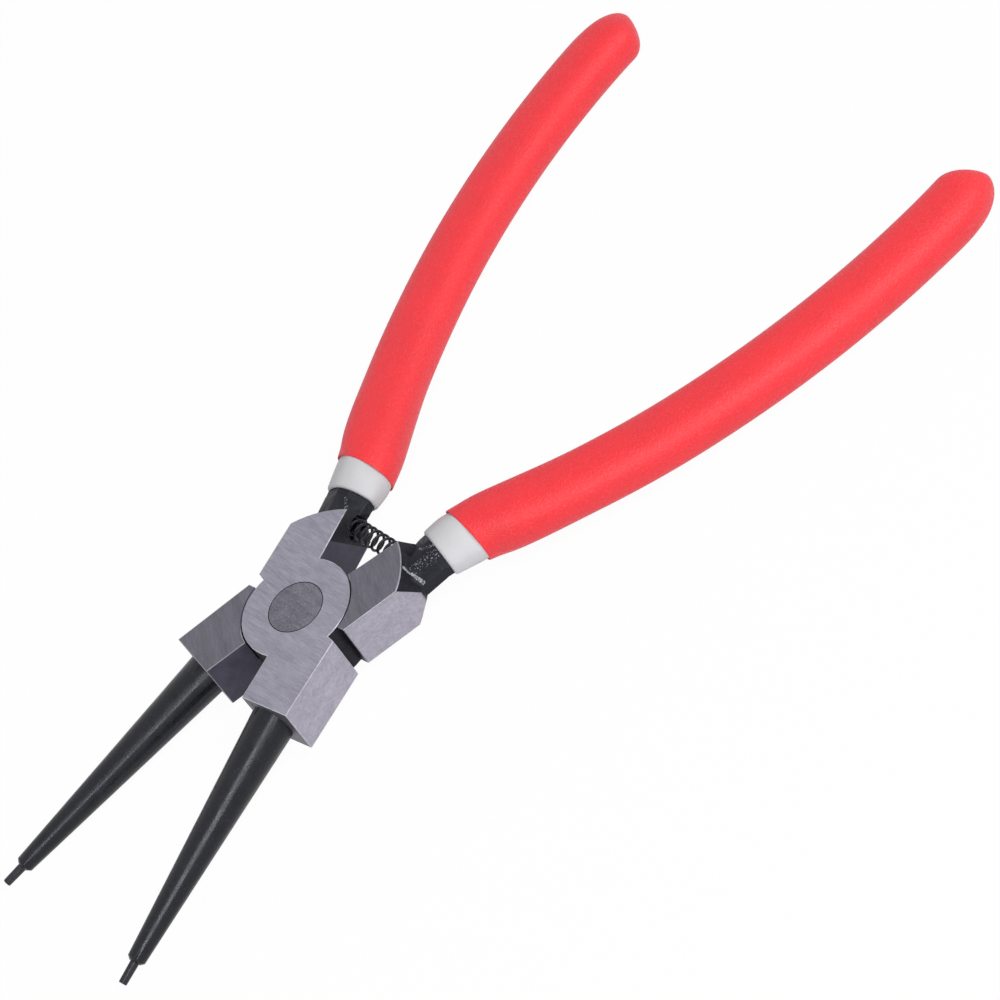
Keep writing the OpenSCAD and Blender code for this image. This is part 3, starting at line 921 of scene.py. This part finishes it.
class PLIERS_OT_rivet(bpy.types.Operator):
    """Make the flush pivot rivet with its peened, slightly hollow heads"""
    bl_idname = "pliers.rivet"
    bl_label = "Pivot rivet"

    RIM_POINTS = 128
    RINGS = (0.45, 0.5)
    NEAR = 1e-6
    LEVEL = 0.99

    def execute(self, context):
        head = context.scene.pliers_head
        finish = context.scene.pliers_finish
        start_piece()
        bpy.ops.mesh.primitive_cylinder_add(vertices=self.RIM_POINTS, radius=head.rivet_radius,
                                            depth=head.thickness, location=(0, 0, head.thickness / 2))
        piece = named("flush_rivet")
        seam = black_steel("rivet_seam_steel", finish.black, rough=0.5, spot_cover=0.2, spot_gain=3.0)
        wear(piece, self.head_steel(finish), seam)
        bpy.ops.object.transform_apply(location=True, rotation=True, scale=True)
        bpy.ops.object.mode_set(mode="EDIT")
        select("edges", lambda e: abs(e.verts[0].co.z - e.verts[1].co.z) < self.NEAR)
        bpy.ops.mesh.bevel(offset=head.rivet_break, segments=3, profile=0.5, clamp_overlap=True, material=1)

        def flat(face):
            return abs(face.normal.z) > self.LEVEL and len(face.verts) == self.RIM_POINTS

        for share in self.RINGS:
            select("faces", flat)
            bpy.ops.mesh.inset(thickness=head.rivet_radius * share, depth=0, use_individual=True)
        select("faces", flat)
        bpy.ops.transform.resize(value=(1, 1, 1 - 2 * head.rivet_crown / head.thickness),
                                 center_override=(0, 0, head.thickness / 2))
        settle(piece, 50)
        stand_for(piece, "pivot_rivet", "rear")
        return {"FINISHED"}

    @staticmethod
    def head_steel(finish):
        """Peened and ground steel of the rivet head, scuffed and a little darker than the face."""
        material, tree, shader, place = blank("flush_rivet_steel")
        lay = put(tree, "ShaderNodeMapping", Vector=place, Scale=RIVET_MARKS).outputs[0]
        marks = use(tree, grinding_marks(), Vector=lay)[0]
        cloud = use(tree, mottle(), Vector=place, Scale=RIVET_CLOUD)[0]
        spots = use(tree, grain(), Vector=place, Scale=RIVET_SPECKS, Cover=0.3)[0]
        base = blend_colour(tree, marks, rgba(finish.rivet, 0.7), rgba(finish.rivet, 1.25))
        base = lay_over(tree, base, cloud, 0.5, rgba(finish.rivet, 0.5), 0.2)
        base = lay_over(tree, base, spots, 0.6, rgba(finish.rivet, 2.2))
        feed(tree, shader, Base_Color=base, Metallic=METAL_SHARE, Normal=bumped(tree, cloud, 0.00003),
             Roughness=span(tree, cloud, 0.0, 1.0, *GROUND_ROUGH))
        return material


class PLIERS_OT_spring(bpy.types.Operator):
    """Wind the return spring, with a closed turn at each end"""
    bl_idname = "pliers.spring"
    bl_label = "Return spring"

    STEPS = 28
    END_GAP = 0.04 * MM

    def execute(self, context):
        spring = context.scene.pliers_spring
        middle = context.scene.pliers_head.thickness / 2
        coil = spring.radius - spring.wire
        closed = 2 * spring.wire + self.END_GAP
        live = (2 * spring.half_length - 2 * closed) / (spring.turns - 2)
        points = []
        for step in range(spring.turns * self.STEPS + 1):
            turns = step / self.STEPS
            if turns < 1:
                rise = turns * closed
            elif turns > spring.turns - 1:
                rise = 2 * spring.half_length - (spring.turns - turns) * closed
            else:
                rise = closed + (turns - 1) * live
            angle = 2 * math.pi * turns
            points.append((spring.place + coil * math.cos(angle), rise - spring.half_length,
                           middle + coil * math.sin(angle)))
        start_piece()
        wire = bpy.data.curves.new("spring_wire", "CURVE")
        wire.dimensions = "3D"
        wire.bevel_depth = spring.wire
        wire.bevel_resolution = 4
        wire.use_fill_caps = True
        path = wire.splines.new("POLY")
        path.points.add(len(points) - 1)
        for point, co in zip(path.points, points):
            point.co = co + (1.0,)
        piece = bpy.data.objects.new("return_coil", wire)
        context.scene.collection.objects.link(piece)
        take(piece)
        bpy.ops.object.convert(target="MESH")
        piece = named("return_coil")
        settle(piece, 60)
        colour = context.scene.pliers_finish.wire
        wear(piece, black_steel("black_spring_wire", colour, rough=0.36, spot_cover=0.28, spot_gain=4.0,
                                relief=0.00001))
        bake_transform(piece, "rear", "front", start=(spring.place, -spring.half_length * 0.93, middle),
                 end=(spring.place, spring.half_length * 0.93, middle))
        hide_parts("return_spring")
        return {"FINISHED"}


class PLIERS_OT_tip_pins(bpy.types.Operator):
    """Set a chamfered pin in the end of each cone"""
    bl_idname = "pliers.tip_pins"
    bl_label = "Tip pins"

    # Axis of the front cone in the open tool, from its foot outwards
    AXIS = Vector((-0.975955, -0.1633189, -0.1443562))
    POINTS = 40
    NEAR = 1e-5

    def execute(self, context):
        tips = context.scene.pliers_tips
        head = context.scene.pliers_head
        material = black_steel("dark_pin_steel", context.scene.pliers_finish.pin, rough=0.38, spot_cover=0.3,
                               spot_gain=3.0, relief=0.00001)
        for side in SIDES:
            way = Vector((1, 1 if side == "front" else -1, 1))
            axis = self.AXIS * way
            foot = Vector((-head.jaw_end, -tips.foot_y, head.thickness / 2))
            foot = Matrix.Rotation(head.opening, 3, "Z") @ foot * way
            depth = tips.free + tips.sunk
            centre = foot + axis * (tips.reach + (tips.free - tips.sunk) / 2)
            start_piece()
            bpy.ops.mesh.primitive_cylinder_add(vertices=self.POINTS, radius=tips.radius, depth=depth,
                                                location=centre,
                                                rotation=axis.to_track_quat("Z", "Y").to_euler())
            piece = named(side + "_pin")
            bpy.ops.object.transform_apply(location=True, rotation=True, scale=True)
            bpy.ops.object.mode_set(mode="EDIT")
            end = foot + axis * (tips.reach + tips.free)
            select("edges", lambda e: all(abs((v.co - end).dot(axis)) < self.NEAR for v in e.verts))
            bpy.ops.mesh.bevel(offset=tips.chamfer, segments=2, profile=0.5, clamp_overlap=True)
            sunk = foot + axis * (tips.reach - tips.sunk)
            select("verts", lambda v: (v.co - sunk).dot(axis) < self.NEAR)
            bpy.ops.transform.resize(value=(tips.taper,) * 3, center_override=sunk)
            settle(piece, 40)
            wear(piece, material)
            stand_for(piece, side + "_tip_pin", side)
        return {"FINISHED"}


class PLIERS_OT_first_dips(bpy.types.Operator):
    """Dip the handles in the pale first coat"""
    bl_idname = "pliers.first_dips"
    bl_label = "Pale first dip"

    # Points of the rim: millimetres past the start, and share of the thickness
    RIM = ((0.1, -0.3), (0.0, 0.0), (-0.02, 0.35), (0.1, 0.8))
    RIM_RUN = 0.35 * MM
    ROUNDNESS = 0.35
    SHORT = 0.6 * MM
    END_THINNING = 0.5

    # Fine steps up to a little way under the red dip, and long ones from there on
    FINE_STEP, LONG_STEP = 0.6 * MM, 4 * MM
    FINE_TO, LONG_FROM = 3 * MM, 5 * MM

    def execute(self, context):
        coats = context.scene.pliers_coats
        finish = context.scene.pliers_finish
        material = dipped_plastic("pale_first_dip", finish.first_dip, finish.first_grain, scale=2600.0,
                                  cover=0.26, relief=0.00002, rough=0.5)
        for side in SIDES:
            line = HandleLine(context.scene, side)
            skin = coats.first_thickness
            start = coats.first_from
            end = min(coats.front_end, coats.rear_end) - self.SHORT
            sections = [line.section(start + run * MM, skin * share, self.ROUNDNESS)
                        for run, share in self.RIM]
            even = steps(start + self.RIM_RUN, coats.red_from + self.FINE_TO, self.FINE_STEP)
            even += steps(coats.red_from + self.LONG_FROM, end - coats.end_outer - END_CLEAR, self.LONG_STEP)
            sections += [line.section(u, skin, self.ROUNDNESS) for u in even]
            sections += round_end(line, end, skin * self.END_THINNING)
            piece = sweep(side + "_first_dip", line, sections)
            wear(piece, material)
            stand_for(piece, side + "_undercoat", side)
        return {"FINISHED"}


class PLIERS_OT_grips(bpy.types.Operator):
    """Dip the handles in the red coat, thin at its edge and blunt at its end"""
    bl_idname = "pliers.grips"
    bl_label = "Red grips"

    # Points of the rim: millimetres past the start, and share of the lip
    RIM = ((0.3, -0.25), (0.06, -0.1), (0.0, 0.0), (0.0, 0.5), (0.08, 0.9))
    RIM_RUN = 0.3 * MM
    ROUNDNESS = 0.7
    ROUNDING = 6 * MM
    STEP = 1.2 * MM

    def execute(self, context):
        coats = context.scene.pliers_coats
        finish = context.scene.pliers_finish
        material = dipped_plastic("red_dip", finish.red_dip, finish.red_grain, scale=3400.0, cover=0.32,
                                  relief=0.00015, rough=0.42, bloom=0.03, rim=finish.red_rim)
        for side in SIDES:
            line = HandleLine(context.scene, side)
            under = coats.first_thickness + coats.clearance
            start = coats.red_from
            end = getattr(coats, side + "_end")
            sections = [line.section(start, under + coats.red_lip * share, self.ROUNDNESS, start + run * MM)
                        for run, share in self.RIM]
            for u in steps(start + self.RIM_RUN, end - coats.end_outer - END_CLEAR, self.STEP):
                full = ease(u, start, start + coats.red_run)
                skin = under + between(coats.red_lip, coats.red_thickness, full)
                roundness = between(self.ROUNDNESS, 1.0, ease(u, start, start + self.ROUNDING))
                sections.append(line.section(u, skin, roundness))
            sections += round_end(line, end, under + coats.red_thickness)
            piece = sweep(side + "_red_grip", line, sections)
            wear(piece, material)
            stand_for(piece, side + "_grip", side)
        return {"FINISHED"}


class PLIERS_PT_sidebar(bpy.types.Panel):
    """Sizes, colours and steps of the pliers"""
    bl_idname = "PLIERS_PT_sidebar"
    bl_label = "Circlip Pliers"
    bl_space_type = "VIEW_3D"
    bl_region_type = "UI"
    bl_category = "Pliers"

    def draw(self, context):
        for operator in STEPS_IN_ORDER:
            self.layout.operator(operator.bl_idname)
        for label in GROUPS:
            group = getattr(context.scene, label)
            box = self.layout.box()
            box.label(text=label.replace("pliers_", "").capitalize())
            for key in group.__annotations__:
                box.prop(group, key)


GROUPS = {
    "pliers_head": PLIERS_PG_head,
    "pliers_handles": PLIERS_PG_handles,
    "pliers_coats": PLIERS_PG_coats,
    "pliers_spring": PLIERS_PG_spring,
    "pliers_tips": PLIERS_PG_tips,
    "pliers_finish": PLIERS_PG_finish,
    "pliers_stage": PLIERS_PG_stage,
}
STEPS_IN_ORDER = (
    PLIERS_OT_stage,
    PLIERS_OT_halves,
    PLIERS_OT_rivet,
    PLIERS_OT_spring,
    PLIERS_OT_tip_pins,
    PLIERS_OT_first_dips,
    PLIERS_OT_grips,
)


def register():
    """Register the groups, operators and panel."""
    for label, group in GROUPS.items():
        bpy.utils.register_class(group)
        setattr(bpy.types.Scene, label, PointerProperty(type=group))
    for operator in STEPS_IN_ORDER:
        bpy.utils.register_class(operator)
    bpy.utils.register_class(PLIERS_PT_sidebar)


def unregister():
    """Take all of it away again."""
    bpy.utils.unregister_class(PLIERS_PT_sidebar)
    for operator in reversed(STEPS_IN_ORDER):
        bpy.utils.unregister_class(operator)
    for label, group in reversed(list(GROUPS.items())):
        delattr(bpy.types.Scene, label)
        bpy.utils.unregister_class(group)


def main():
    """Build everything in order."""
    register()
    bpy.ops.pliers.stage()
    bpy.ops.pliers.halves()
    bpy.ops.pliers.rivet()
    bpy.ops.pliers.spring()
    bpy.ops.pliers.tip_pins()
    bpy.ops.pliers.first_dips()
    bpy.ops.pliers.grips()


if __name__ == "__main__":
    main()
